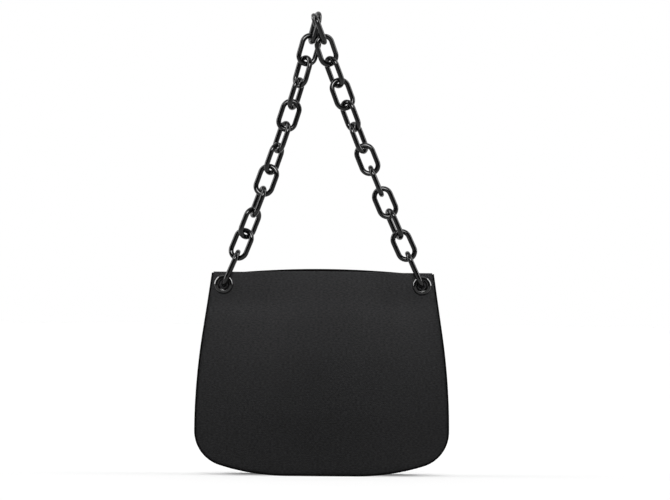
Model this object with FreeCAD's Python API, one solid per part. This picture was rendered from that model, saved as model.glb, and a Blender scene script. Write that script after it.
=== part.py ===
import FreeCAD, Part
import math
import os

# Chain shoulder bag, in mm. X is across the bag, Y runs from the front to the back, Z is up from the floor.

# Clearances and cuts
layer_gap = 0.25
seat_gap = 0.2
cut_overrun = 8.0

# Outline of the bag, seen from the front
bag_height = 211.0
bag_half_width = 133.2
base_flat_half = 36.0
base_curve_radius = 235.0
corner_run = 26.2
side_bow_radius = 700.0
side_lean = 8.3
mouth_inset = 57.2
mouth_rise = 3.0
back_rise = 1.5
top_corner_radius = 4.0
corner_start_half = bag_half_width - corner_run
mouth_half = bag_half_width - mouth_inset

# Depth of the bag: wide at the base, pinched flat at the top corners, with swelling panels
base_half_depth = 29.0
pinch_half_depth = 2.8
panel_swell = 9.0
level_shares = (0.0, 0.30, 0.58, 0.78, 0.86, 1.0)
taper_shares = (1.0, 0.76, 0.45, 0.17, 0.0, 0.0)
swell_shares = (0.05, 0.70, 1.0, 1.15, 1.30, 0.90)
swell_width_shares = (1.0, 1.0, 0.95, 0.80, 0.69, 0.69)
across_shares = (0.15, 0.30, 0.45, 0.60, 0.75, 0.90, 1.10)

# Sewn layers
panel_thickness = 1.4
piping_width = 1.6
piping_proud = 0.4
gusset_thickness = 1.4
facing_thickness = 0.9
facing_height = 36.0
facing_drop = 1.0
lining_thickness = 0.6
board_thickness = 1.8
board_inset = 48.2
pocket_side_inset = 71.2
pocket_bottom = 62.0
pocket_top_drop = 26.7
pocket_thickness = 0.6
board_half_length = bag_half_width - board_inset
pocket_half_width = bag_half_width - pocket_side_inset
pocket_height = bag_height - facing_height - pocket_top_drop - pocket_bottom

# Eyelets through the pinched corners
eyelet_drop = 11.8
eyelet_side_margin = 14.3
eyelet_hole_radius = 4.8
eyelet_wall = 0.7
flange_radius = 10.0
flange_rise = 1.4
bead_width = 2.2
dish_rise = 0.7
washer_thickness = 1.0
rolled_rim_width = 1.3
eyelet_height = bag_height - eyelet_drop

# Closing snap inside the mouth
snap_drop = 14.0
snap_radius = 9.0
socket_thickness = 2.6
socket_bore_radius = 3.2
socket_bore_depth = 1.7
stud_plate_thickness = 1.6
stud_radius = 2.8
stud_height = 1.5
snap_edge_radius = 0.6

# Chain
wire_diameter = 5.4
link_length = 36.0
link_width = 22.8
end_link_length = 42.8
end_link_width = 24.8
end_link_drop = 0.2
links_per_strand = 12
left_slack = 1.165
right_slack = 0.675
strap_top_overlap = 1.8
top_step_share = 0.7175
left_twist_angles = (90, -22, 42, -74, -10, 54, -62, 2, 66, -50.3, 10.4, 105.4)
right_twist_angles = (90, 0, -72, 0, 88, -4, 62, -52, 12, -55.8, 20.6, 97.4)
left_top_lean_angles = (-1.1, 0, 0.3)
right_top_lean_angles = (1.1, 0, 2.2)
left_top_tilt_angles = (-0.9, -1.2, 14.3)
right_top_tilt_angles = (5.3, 16, 18.8)

across = FreeCAD.Vector(1, 0, 0)
backward = FreeCAD.Vector(0, 1, 0)
upward = FreeCAD.Vector(0, 0, 1)
full_turn = 360
half_turn = 180


def front_point(x, z):
    return FreeCAD.Vector(x, 0, z)


def arc(centre_x, centre_z, radius, start, end):
    """Arc in the front plane, its angles in radians from +X."""
    points = []
    for angle in (start, (start + end) / 2, end):
        points.append(front_point(centre_x + radius * math.cos(angle), centre_z + radius * math.sin(angle)))
    return Part.Arc(*points).toShape()


def outline_edges(inset):
    """Right half of the body's outline, from the flat base up the side, drawn in by the inset."""
    sweep = math.asin((corner_start_half - base_flat_half) / base_curve_radius)
    corner_radius = (bag_half_width - corner_start_half) / (1 - math.sin(sweep))
    corner_x = base_flat_half + (base_curve_radius - corner_radius) * math.sin(sweep)
    corner_z = base_curve_radius - (base_curve_radius - corner_radius) * math.cos(sweep)
    bow_x = corner_x + corner_radius - side_bow_radius
    lean = math.radians(side_lean)
    down = -math.pi / 2
    edges = [
        arc(base_flat_half, base_curve_radius, base_curve_radius - inset, down, down + sweep),
        arc(corner_x, corner_z, corner_radius - inset, down + sweep, 0),
        arc(bow_x, corner_z, side_bow_radius - inset, 0, lean),
    ]
    bow_end = edges[-1].Vertexes[-1].Point
    climb = bag_height + mouth_rise + back_rise + cut_overrun - bow_end.z
    edges.append(Part.makeLine(bow_end, bow_end + front_point(-climb * math.tan(lean), climb)))
    return edges


def eyelet_half_span():
    """Distance of each eyelet from the middle, a margin in from the straight upper side."""
    low, high = [vertex.Point for vertex in outline_edges(0)[-1].Vertexes]
    share = (eyelet_height - low.z) / (high.z - low.z)
    return low.x + (high.x - low.x) * share - eyelet_side_margin


def body_prism(inset):
    """The outline drawn in by the inset, open above the mouth, as a prism through the whole depth."""
    right = outline_edges(inset)
    left = [edge.mirror(FreeCAD.Vector(), across) for edge in right]
    base = Part.makeLine(front_point(-base_flat_half, inset), front_point(base_flat_half, inset))
    top_right = right[-1].Vertexes[-1].Point
    top = Part.makeLine(top_right, front_point(-top_right.x, top_right.z))
    wire = Part.Wire(Part.__sortEdges__([base] + right + [top] + left))
    reach = base_half_depth + panel_swell + cut_overrun
    prism = Part.Face(wire).extrude(backward * (reach + reach))
    prism.translate(backward * -reach)
    return prism


def below_top(rise):
    """Everything under the top edge, which runs level from the corners and swells in the middle."""
    side = bag_half_width + cut_overrun
    top = bag_height + rise
    crest = Part.BSplineCurve()
    crest.interpolate(
        Points=[
            front_point(mouth_half, top),
            front_point(0, top + mouth_rise),
            front_point(-mouth_half, top),
        ],
        Tangents=[-across, -across, -across],
        TangentFlags=[True, True, True],
    )
    corners = [
        front_point(-mouth_half, top),
        front_point(-side, top),
        front_point(-side, -cut_overrun),
        front_point(side, -cut_overrun),
        front_point(side, top),
        front_point(mouth_half, top),
    ]
    wire = Part.Wire([crest.toShape()] + Part.makePolygon(corners).Edges)
    reach = base_half_depth + panel_swell + cut_overrun
    region = Part.Face(wire).extrude(backward * (reach + reach))
    region.translate(backward * -reach)
    return region


def panel_blank(inset, rise):
    """Outline prism cut at the top edge, with its two top corners rounded."""
    blank = body_prism(inset).common(below_top(rise))
    corners = []
    for edge in blank.Edges:
        first, last = edge.Vertexes[0], edge.Vertexes[-1]
        runs_back = abs(first.Y - last.Y) > base_half_depth
        if runs_back and first.Z > eyelet_height and abs(first.X) > eyelet_half_span():
            corners.append(edge)
    return blank.makeFillet(top_corner_radius, corners)


def blend(shares, level):
    """Value of a share at a height share, straight between the listed levels."""
    for low, high, start, end in zip(level_shares, level_shares[1:], shares, shares[1:]):
        if level <= high:
            return start + (end - start) * (level - low) / (high - low)
    return shares[-1]


def half_depth(x, level):
    """Half the bag's depth at a place across it and at a height share."""
    side = pinch_half_depth + blend(taper_shares, level) * (base_half_depth - pinch_half_depth)
    swell_half_width = blend(swell_width_shares, level) * bag_half_width
    place = min(abs(x) / swell_half_width, 1)
    return side + blend(swell_shares, level) * panel_swell * (1 + math.cos(math.pi * place)) / 2


def depth_curve(level, z, depth, side):
    """Curve across the bag at one height, the given depth under the panel's outer face."""
    shares = [-share for share in reversed(across_shares)] + [0] + list(across_shares)
    points = []
    for share in shares:
        x = share * bag_half_width
        points.append(FreeCAD.Vector(x, side * (half_depth(x, level) - depth), z))
    curve = Part.BSplineCurve()
    curve.interpolate(points)
    return curve.toShape()


def loft_between(near, far, levels):
    """Ruled solid between two depth curves, each given as a depth and a side, through the listed levels."""
    wires = []
    for level in levels:
        z = level * bag_height
        if level == level_shares[0]:
            z = -cut_overrun
        if level == level_shares[-1]:
            z = bag_height + mouth_rise + back_rise + cut_overrun
        first = depth_curve(level, z, *near)
        second = depth_curve(level, z, *far)
        ends = [
            Part.makeLine(first.Vertexes[-1].Point, second.Vertexes[-1].Point),
            Part.makeLine(second.Vertexes[0].Point, first.Vertexes[0].Point),
        ]
        wires.append(Part.Wire(Part.__sortEdges__([first, ends[0], second, ends[1]])))
    return Part.makeLoft(wires, True, True)


def front_layer(outer_depth, inner_depth):
    return loft_between((outer_depth, -1), (inner_depth, -1), level_shares)


def core(depth, levels=level_shares):
    """Space between the front and the back, the given depth in from both panels' outer faces."""
    return loft_between((depth, -1), (depth, 1), levels)


def to_back(shape):
    return shape.mirror(FreeCAD.Vector(), backward)


def slice_between(bottom, top):
    """Slab that keeps what lies between two heights."""
    half = bag_half_width + cut_overrun
    reach = base_half_depth + panel_swell + cut_overrun
    corner = FreeCAD.Vector(-half, -reach, bottom)
    return Part.makeBox(half + half, reach + reach, top - bottom, corner)


def eyelet_bores():
    reach = base_half_depth + panel_swell
    radius = eyelet_hole_radius + eyelet_wall + seat_gap
    bores = []
    for side in (-1, 1):
        start = FreeCAD.Vector(side * eyelet_half_span(), -reach, eyelet_height)
        bores.append(Part.makeCylinder(radius, reach + reach, start, backward))
    return Part.makeCompound(bores)


def panels():
    layer = front_layer(0, panel_thickness)
    inset = piping_width + layer_gap
    front = panel_blank(inset, 0).common(layer).cut(eyelet_bores())
    back = panel_blank(inset, back_rise).common(to_back(layer)).cut(eyelet_bores())
    return front, back


def piping():
    frame = body_prism(0).cut(body_prism(piping_width)).common(below_top(-layer_gap))
    strip = frame.common(front_layer(-piping_proud, panel_thickness))
    return strip, to_back(strip)


def gusset():
    frame = body_prism(0).cut(body_prism(gusset_thickness)).common(below_top(-layer_gap))
    return frame.common(core(panel_thickness + layer_gap))


def facings():
    outer = panel_thickness + layer_gap
    band = slice_between(bag_height - facing_height, bag_height + mouth_rise + cut_overrun)
    blank = body_prism(gusset_thickness + layer_gap).common(below_top(-facing_drop)).common(band)
    facing = blank.common(front_layer(outer, outer + facing_thickness)).cut(eyelet_bores())
    return facing, to_back(facing)


def linings():
    outer = panel_thickness + layer_gap
    inner = outer + lining_thickness
    side_inset = gusset_thickness + layer_gap
    below_facing = slice_between(-cut_overrun, bag_height - facing_height - layer_gap)
    blank = body_prism(side_inset).common(below_facing)
    front = blank.common(front_layer(outer, inner))
    strip = blank.cut(body_prism(side_inset + lining_thickness))
    around = strip.common(core(inner + layer_gap))
    return front, to_back(front), around


def base_board():
    outer_inset = gusset_thickness + layer_gap + lining_thickness + layer_gap
    ring = body_prism(outer_inset).cut(body_prism(outer_inset + board_thickness))
    reach = base_half_depth + panel_swell
    span = Part.makeBox(board_half_length + board_half_length, reach + reach, corner_start_half,
                        FreeCAD.Vector(-board_half_length, -reach, 0))
    depth = panel_thickness + layer_gap + lining_thickness + layer_gap
    return ring.common(span).common(core(depth, level_shares[:4]))


def slip_pocket():
    depth = panel_thickness + layer_gap + lining_thickness + layer_gap
    layer = loft_between((depth, 1), (depth + pocket_thickness, 1), level_shares[:5])
    reach = base_half_depth + panel_swell
    patch = Part.makeBox(pocket_half_width + pocket_half_width, reach, pocket_height,
                         FreeCAD.Vector(-pocket_half_width, 0, pocket_bottom))
    return layer.common(patch)


def revolve_about_bore(points):
    """Turned part about the Y axis from radius and depth pairs; a second pair is an arc's middle."""
    edges = []
    for start, end in zip(points, points[1:] + points[:1]):
        radius, depth, *bulge = start
        end_radius, end_depth, *_ = end
        first = FreeCAD.Vector(radius, depth, 0)
        last = FreeCAD.Vector(end_radius, end_depth, 0)
        if bulge:
            edges.append(Part.Arc(first, FreeCAD.Vector(*bulge, 0), last).toShape())
        else:
            edges.append(Part.makeLine(first, last))
    return Part.Face(Part.Wire(edges)).revolve(FreeCAD.Vector(), backward, full_turn)


def eyelet():
    """Flanged barrel: rounded bead round a dish, a throat, and a rim rolled over the washer."""
    seat = -(pinch_half_depth + seat_gap)
    back_seat = pinch_half_depth + seat_gap + washer_thickness + seat_gap
    barrel_radius = eyelet_hole_radius + eyelet_wall
    bead_inner = flange_radius - bead_width
    throat = eyelet_hole_radius + flange_rise
    rim_radius = barrel_radius + rolled_rim_width
    points = [
        (flange_radius, seat, flange_radius - bead_width / 2, seat - flange_rise),
        (bead_inner, seat - dish_rise),
        (throat, seat - dish_rise, eyelet_hole_radius + eyelet_wall / 2, seat - dish_rise / 2),
        (eyelet_hole_radius, seat + eyelet_wall),
        (eyelet_hole_radius, back_seat),
        (barrel_radius, back_seat + eyelet_wall),
        (rim_radius, back_seat + eyelet_wall),
        (rim_radius, back_seat),
        (barrel_radius, back_seat),
        (barrel_radius, seat),
    ]
    return revolve_about_bore(points)


def eyelet_washer():
    """Domed ring under the rolled rim at the back."""
    seat = pinch_half_depth + seat_gap
    inner = eyelet_hole_radius + eyelet_wall + seat_gap
    flat = eyelet_hole_radius + eyelet_wall + rolled_rim_width + seat_gap
    bead_middle = flange_radius - bead_width / 2
    points = [
        (inner, seat),
        (inner, seat + washer_thickness),
        (flat, seat + washer_thickness, bead_middle, seat + washer_thickness / 2 + seat_gap),
        (flange_radius, seat),
    ]
    return revolve_about_bore(points)


def soften(solid, radius, height):
    """Rounds the disc's free rim, the widest round edge at the given height."""
    rims = []
    for edge in solid.Edges:
        box = edge.BoundBox
        if box.XLength > snap_radius and abs(box.ZMin - height) < radius and abs(box.ZMax - height) < radius:
            rims.append(edge)
    return solid.makeFillet(radius, rims)


def snap_halves():
    """Socket on the front facing and stud on the back facing, square to the sloping facings."""
    socket = soften(Part.makeCylinder(snap_radius, socket_thickness), snap_edge_radius, socket_thickness)
    bore_start = upward * (socket_thickness - socket_bore_depth)
    socket = socket.cut(Part.makeCylinder(socket_bore_radius, socket_bore_depth + cut_overrun, bore_start))
    plate = Part.makeCylinder(snap_radius, stud_plate_thickness)
    stud = soften(plate, snap_edge_radius, stud_plate_thickness)
    stud = stud.fuse(Part.makeCylinder(stud_radius, stud_plate_thickness + stud_height))
    height = bag_height - snap_drop
    low_level = (height - snap_radius) / bag_height
    high_level = (height + snap_radius) / bag_height
    low, high = half_depth(0, low_level), half_depth(0, high_level)
    slope = math.atan2(low - high, snap_radius + snap_radius)
    inner_depth = panel_thickness + layer_gap + facing_thickness + seat_gap
    half_gap = (low + high) / 2 - inner_depth / math.cos(slope)
    placed = []
    for half, side in ((socket, -1), (stud, 1)):
        normal = FreeCAD.Vector(0, -side * math.cos(slope), -math.sin(slope))
        turn = FreeCAD.Rotation(upward, normal)
        half.Placement = FreeCAD.Placement(FreeCAD.Vector(0, side * half_gap, height), turn)
        placed.append(half)
    return placed


def oval_link(length, width):
    """One closed link of round wire, standing on end in the front plane about the origin."""
    bend_radius = (width - wire_diameter) / 2
    straight_half = (length - width) / 2
    wire_radius = wire_diameter / 2
    lower = Part.Circle(FreeCAD.Vector(bend_radius, 0, -straight_half), upward, wire_radius)
    section = Part.Face(Part.Wire(lower.toShape()))
    side = section.extrude(upward * (straight_half + straight_half))
    bend = section.revolve(FreeCAD.Vector(0, 0, -straight_half), backward, half_turn)
    other_side = side.mirror(FreeCAD.Vector(), across)
    other_bend = bend.mirror(FreeCAD.Vector(), upward)
    return side.multiFuse([bend, other_side, other_bend]).removeSplitter()


def link_reach(number, slack):
    """Distance that a link climbs from the middle of one joint to the middle of the next."""
    if number == 0:
        return end_link_length - wire_diameter - (wire_diameter + slack) / 2
    return link_length - wire_diameter - wire_diameter - slack


def strand_rises():
    """Rise of each link; the links' sideways steps add up to the run from the eyelet to the strap's top."""
    mean_slack = (left_slack + right_slack) / 2
    reaches, weights = [], []
    for number in range(links_per_strand):
        climb_share = number / (links_per_strand - 1)
        reaches.append(link_reach(number, mean_slack))
        weights.append(reaches[-1] * (1 - (1 - top_step_share) * climb_share))
    run = eyelet_half_span() + strap_top_overlap
    rises = []
    for reach, weight in zip(reaches, weights):
        step = run * weight / sum(weights)
        rises.append(math.sqrt(reach**2 - step**2))
    return rises


def strand(side, slack, twists, top_leans, top_tilts):
    """Links of one strand from the eyelet up; both strands rise alike, so their joints stay level."""
    joint = FreeCAD.Vector(side * eyelet_half_span(), 0, eyelet_height - end_link_drop)
    links = []
    for number, rise in enumerate(strand_rises()):
        reach = link_reach(number, slack)
        lean = math.degrees(math.acos(rise / reach))
        tilt = 0
        if number >= links_per_strand - len(top_tilts):
            lean += top_leans[number - links_per_strand]
            tilt = top_tilts[number - links_per_strand]
        turn = FreeCAD.Rotation(backward, -side * lean)
        turn = turn.multiply(FreeCAD.Rotation(across, tilt))
        climb = turn.multVec(upward)
        turn = turn.multiply(FreeCAD.Rotation(upward, twists[number]))
        if number == 0:
            link = oval_link(end_link_length, end_link_width)
            middle = joint + climb * ((end_link_length - wire_diameter) / 2)
        else:
            link = oval_link(link_length, link_width)
            middle = joint + climb * ((link_length - wire_diameter - wire_diameter - slack) / 2)
        link.Placement = FreeCAD.Placement(middle, turn)
        links.append(link)
        joint = joint + climb * reach
    return links


def build():
    nodes = {}
    nodes["front_panel"], nodes["back_panel"] = panels()
    nodes["front_piping"], nodes["back_piping"] = piping()
    nodes["gusset"] = gusset()
    nodes["front_facing"], nodes["back_facing"] = facings()
    nodes["front_lining"], nodes["back_lining"], nodes["gusset_lining"] = linings()
    nodes["base_board"] = base_board()
    nodes["slip_pocket"] = slip_pocket()
    nodes["snap_socket"], nodes["snap_stud"] = snap_halves()
    for name, side, *lie in (
        ("left", -1, left_slack, left_twist_angles, left_top_lean_angles, left_top_tilt_angles),
        ("right", 1, right_slack, right_twist_angles, right_top_lean_angles, right_top_tilt_angles),
    ):
        corner = FreeCAD.Vector(side * eyelet_half_span(), 0, eyelet_height)
        nodes[name + "_eyelet"] = eyelet().translated(corner)
        nodes[name + "_eyelet_washer"] = eyelet_washer().translated(corner)
        for number, link in enumerate(strand(side, *lie), start=1):
            nodes[f"{name}_link_{number:02d}"] = link
    return nodes


os.makedirs("parts", exist_ok=True)
for node, shape in build().items():
    shape.Solids[0].exportStep(f"parts/{node}.step")
    print(node, shape.ShapeType, len(shape.Solids), round(shape.Volume, 1), shape.isValid())
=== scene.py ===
import math

import bpy
import numpy as np
from mathutils import Matrix, Vector


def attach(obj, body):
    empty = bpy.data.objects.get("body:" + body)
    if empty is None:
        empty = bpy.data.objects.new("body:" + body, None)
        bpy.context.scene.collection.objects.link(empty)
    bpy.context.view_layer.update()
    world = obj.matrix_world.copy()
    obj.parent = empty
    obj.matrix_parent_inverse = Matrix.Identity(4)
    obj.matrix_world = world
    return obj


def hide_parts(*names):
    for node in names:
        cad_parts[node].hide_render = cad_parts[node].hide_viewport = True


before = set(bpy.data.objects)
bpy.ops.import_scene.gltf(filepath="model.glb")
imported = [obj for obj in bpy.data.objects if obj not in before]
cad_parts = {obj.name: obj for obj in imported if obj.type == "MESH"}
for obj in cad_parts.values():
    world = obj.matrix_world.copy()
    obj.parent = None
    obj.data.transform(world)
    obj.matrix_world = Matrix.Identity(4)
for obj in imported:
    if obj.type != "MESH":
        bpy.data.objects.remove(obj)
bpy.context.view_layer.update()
scene = bpy.context.scene
scene.view_settings.view_transform = "Standard"
mm = 0.001  # the bag's sizes below are in millimetres, and its meshes in metres


# Node helpers

def addNode(tree, kind, **settings):
    made = tree.nodes.new(kind)
    for key, value in settings.items():
        setattr(made, key, value)
    return made


def setInputs(node, values):
    for label, value in values.items():
        node.inputs[label].default_value = value


def mathNode(tree, operation, first, second=None):
    made = addNode(tree, "ShaderNodeMath", operation=operation)
    for socket, value in zip(made.inputs, (first, second)):
        if isinstance(value, (int, float)):
            socket.default_value = value
        elif value is not None:
            tree.links.new(value, socket)
    return made.outputs[0]


def spread(tree, value, span, base):
    return mathNode(tree, "ADD", mathNode(tree, "MULTIPLY", value, span), base)


def splitPlace(tree, vector):
    made = addNode(tree, "ShaderNodeSeparateXYZ")
    tree.links.new(vector, made.inputs[0])
    return made.outputs


def ramp(tree, value, low, high, start, end):
    made = addNode(tree, "ShaderNodeMapRange", interpolation_type="SMOOTHSTEP")
    setInputs(made, {"From Min": low, "From Max": high, "To Min": start, "To Max": end})
    tree.links.new(value, made.inputs["Value"])
    return made.outputs[0]


def nodeGroup(name, kind, inputs, outputs):
    tree = bpy.data.node_groups.new(name, kind)
    for label, socketKind, value in inputs:
        socket = tree.interface.new_socket(label, in_out="INPUT", socket_type=socketKind)
        if value is not None:
            socket.default_value = value
    for label, socketKind in outputs:
        tree.interface.new_socket(label, in_out="OUTPUT", socket_type=socketKind)
    return tree, addNode(tree, "NodeGroupInput").outputs, addNode(tree, "NodeGroupOutput").inputs


def shaderGroup(name, inputs, outputs):
    return nodeGroup(name, "ShaderNodeTree", inputs, [(label, "NodeSocketFloat") for label in outputs])


def geometryTree(name, inputs):
    path = ("Path", "NodeSocketGeometry", None)
    return nodeGroup(name, "GeometryNodeTree", (path, *inputs), [("Geometry", "NodeSocketGeometry")])


# Shader groups that the finishes share

weaveForm = {"crossing": 0.35, "slubScale": (380.0, 900.0, 1.0), "slubDetail": 3.0, "shadeSpan": 0.25,
             "shadeBase": 0.85}
handlingForm = {"Blotch": {"Detail": 4.0}, "Scratch": {"Detail": 2.0, "Distortion": 1.5}}


def ribbedWeave():
    # plain weave with heavy threads across: round ribs, each one bumped where the warp passes over it
    form = weaveForm
    tree, given, result = shaderGroup("ribbedWeave", (
        ("Vector", "NodeSocketVector", None),
        ("Ribs Per Metre", "NodeSocketFloat", 1100.0),
        ("Warps Per Metre", "NodeSocketFloat", 900.0),
        ("Slub", "NodeSocketFloat", 0.5),
    ), ("Height", "Shade"))
    along, up, _ = splitPlace(tree, given["Vector"])
    waves = []
    for spot, label in ((up, "Ribs Per Metre"), (along, "Warps Per Metre")):
        threads = mathNode(tree, "MULTIPLY", spot, given[label])
        waves.append(mathNode(tree, "SINE", mathNode(tree, "MULTIPLY", threads, math.pi)))
    rib, warp = waves
    crossing = mathNode(tree, "MULTIPLY", mathNode(tree, "MULTIPLY", rib, warp), form["crossing"])
    height = mathNode(tree, "ADD", mathNode(tree, "ABSOLUTE", rib), crossing)
    stretch = addNode(tree, "ShaderNodeMapping")
    setInputs(stretch, {"Scale": form["slubScale"]})
    tree.links.new(given["Vector"], stretch.inputs["Vector"])
    slub = addNode(tree, "ShaderNodeTexNoise", noise_dimensions="2D")
    setInputs(slub, {"Scale": 1.0, "Detail": form["slubDetail"]})
    tree.links.new(stretch.outputs[0], slub.inputs["Vector"])
    uneven = mathNode(tree, "MULTIPLY", mathNode(tree, "SUBTRACT", slub.outputs[0], 0.5), given["Slub"])
    tree.links.new(mathNode(tree, "ADD", height, uneven), result["Height"])
    # painted shade: the Shade output makes the cloth's colour darker in the grooves between the ribs, where
    # the height is low, and the slubs add the yarn's random tone
    shade = spread(tree, height, form["shadeSpan"], form["shadeBase"])
    tree.links.new(mathNode(tree, "ADD", shade, uneven), result["Shade"])
    return tree


def handling():
    # faint rubbing and dust: slow blotches with fine scratches in them
    tree, given, result = shaderGroup("handling", (
        ("Vector", "NodeSocketVector", None),
        ("Blotches Per Metre", "NodeSocketFloat", 40.0),
        ("Scratches Per Metre", "NodeSocketFloat", 900.0),
    ), ("Blotch", "Scratch"))
    for label, scale in (("Blotch", "Blotches Per Metre"), ("Scratch", "Scratches Per Metre")):
        noise = addNode(tree, "ShaderNodeTexNoise")
        setInputs(noise, handlingForm[label])
        tree.links.new(given["Vector"], noise.inputs["Vector"])
        tree.links.new(given[scale], noise.inputs["Scale"])
        tree.links.new(noise.outputs[0], result[label])
    return tree


weaveGroup = ribbedWeave()
handlingGroup = handling()


def useGroup(tree, group, vector, values):
    made = addNode(tree, "ShaderNodeGroup", node_tree=group)
    tree.links.new(vector, made.inputs["Vector"])
    setInputs(made, values)
    return made.outputs


# Finishes

glossForm = {"shadeSpan": 0.5, "shadeBase": 0.75, "scratchDepth": 0.02}


def newFinish(name, values):
    finish = bpy.data.materials.new(name)
    finish.use_nodes = True
    shader = finish.node_tree.nodes["Principled BSDF"]
    setInputs(shader, values)
    return finish, finish.node_tree, shader.inputs


def tint(tree, colour, shade, socket):
    scaled = addNode(tree, "ShaderNodeVectorMath", operation="SCALE")
    scaled.inputs[0].default_value = colour
    tree.links.new(shade, scaled.inputs["Scale"])
    tree.links.new(scaled.outputs[0], socket)


def bump(tree, height, distance, strength, socket):
    made = addNode(tree, "ShaderNodeBump")
    setInputs(made, {"Distance": distance, "Strength": strength})
    tree.links.new(height, made.inputs["Height"])
    tree.links.new(made.outputs[0], socket)


def clothFinish(name, look):
    finish, tree, shader = newFinish(name, {
        "Roughness": look["roughness"], "Sheen Weight": look["sheen"], "Sheen Roughness": 0.5,
        "Specular IOR Level": look["specular"]})
    along = addNode(tree, "ShaderNodeUVMap", uv_map="clothUv").outputs[0]
    weave = useGroup(tree, weaveGroup, along, {
        "Ribs Per Metre": look["ribs"], "Warps Per Metre": look["warps"], "Slub": look["slub"]})
    where = addNode(tree, "ShaderNodeTexCoord").outputs["Object"]
    worn = useGroup(tree, handlingGroup, where, {"Blotches Per Metre": look["blotches"]})
    # the cloth's colour takes the weave's painted groove shade, times the random mottle of handling
    mottle = spread(tree, worn["Blotch"], look["mottle"], 1 - look["mottle"] / 2)
    tint(tree, look["colour"], mathNode(tree, "MULTIPLY", weave["Shade"], mottle), shader["Base Color"])
    bump(tree, weave["Height"], look["relief"] * mm, look["bump"], shader["Normal"])
    return finish


def glossFinish(name, look):
    finish, tree, shader = newFinish(name, {"Metallic": look["metallic"], "IOR": look["ior"]})
    where = addNode(tree, "ShaderNodeTexCoord").outputs["Object"]
    worn = useGroup(tree, handlingGroup, where, {
        "Blotches Per Metre": look["blotches"], "Scratches Per Metre": look["scratches"]})
    shade = spread(tree, worn["Blotch"], glossForm["shadeSpan"], glossForm["shadeBase"])
    tint(tree, look["colour"], shade, shader["Base Color"])
    tree.links.new(spread(tree, worn["Blotch"], look["smear"], look["roughness"]), shader["Roughness"])
    bump(tree, worn["Scratch"], glossForm["scratchDepth"] * mm, look["bump"], shader["Normal"])
    return finish


finishes = {
    "panel": clothFinish("charcoalRibCloth", {
        "colour": (0.0262, 0.0262, 0.0271), "roughness": 0.92, "sheen": 0.03, "specular": 0.06,
        "ribs": 1150.0, "warps": 980.0, "slub": 1.2, "blotches": 26.0, "mottle": 0.18, "relief": 0.22,
        "bump": 0.45}),
    # the piping is a seam cord of black cloth; its near-black colour, darker than the outer cloth, is also
    # painted shade for the dark line along the bag's turned edge
    "piping": clothFinish("pipingClothPaintedEdgeShade", {
        "colour": (0.002, 0.002, 0.002), "roughness": 0.8, "sheen": 0.0, "specular": 0.06,
        "ribs": 1800.0, "warps": 1800.0, "slub": 0.3, "blotches": 60.0, "mottle": 0.2, "relief": 0.1,
        "bump": 0.3}),
    # painted shade: the facings are near black, darker than the outer cloth, so that the inside of the mouth
    # seen above the front edge shows as a dark band even where light reaches it
    "facing": clothFinish("facingClothPaintedMouthShade", {
        "colour": (0.002, 0.002, 0.0021), "roughness": 0.85, "sheen": 0.0, "specular": 0.06,
        "ribs": 1500.0, "warps": 1500.0, "slub": 0.3, "blotches": 40.0, "mottle": 0.2, "relief": 0.12,
        "bump": 0.3}),
    "lining": clothFinish("blackLiningTwill", {
        "colour": (0.014, 0.014, 0.016), "roughness": 0.55, "sheen": 0.15, "specular": 0.4,
        "ribs": 2600.0, "warps": 2600.0, "slub": 0.25, "blotches": 30.0, "mottle": 0.25, "relief": 0.06,
        "bump": 0.3}),
    "chain": glossFinish("blackGlossLink", {
        "colour": (0.0015, 0.0015, 0.0016), "metallic": 0.0, "ior": 1.39, "roughness": 0.05, "smear": 0.05,
        "blotches": 90.0, "scratches": 1400.0, "bump": 0.12}),
    "fitting": glossFinish("blackGlossEyelet", {
        "colour": (0.0015, 0.0015, 0.0016), "metallic": 0.0, "ior": 1.65, "roughness": 0.05, "smear": 0.05,
        "blotches": 120.0, "scratches": 1600.0, "bump": 0.1}),
    "snap": glossFinish("darkSteelSnap", {
        "colour": (0.16, 0.16, 0.17), "metallic": 1.0, "ior": 1.5, "roughness": 0.22, "smear": 0.15,
        "blotches": 200.0, "scratches": 2200.0, "bump": 0.2}),
    "thread": clothFinish("blackThread", {
        "colour": (0.02, 0.02, 0.021), "roughness": 0.6, "sheen": 0.1, "specular": 0.4,
        "ribs": 4000.0, "warps": 900.0, "slub": 0.2, "blotches": 100.0, "mottle": 0.2, "relief": 0.05,
        "bump": 0.3}),
}
print("finishes made:", len(finishes))


# Geometry node trees: chain link, seam cord and stitch row

def finishTree(tree, shape, finish, result):
    # smooth, realized and painted, as every tree here ends
    for kind in ("GeometryNodeSetShadeSmooth", "GeometryNodeRealizeInstances", "GeometryNodeSetMaterial"):
        step = addNode(tree, kind)
        tree.links.new(shape, step.inputs["Geometry"])
        shape = step.outputs[0]
    tree.links.new(finish, step.inputs["Material"])
    tree.links.new(shape, result["Geometry"])


def sweepRound(tree, curve, radius, sides, caps):
    ring = addNode(tree, "GeometryNodeCurvePrimitiveCircle")
    tree.links.new(sides, ring.inputs["Resolution"])
    tree.links.new(radius, ring.inputs["Radius"])
    sweep = addNode(tree, "GeometryNodeCurveToMesh")
    setInputs(sweep, {"Fill Caps": caps})
    tree.links.new(curve, sweep.inputs["Curve"])
    tree.links.new(ring.outputs[0], sweep.inputs["Profile Curve"])
    return sweep.outputs[0]


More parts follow.
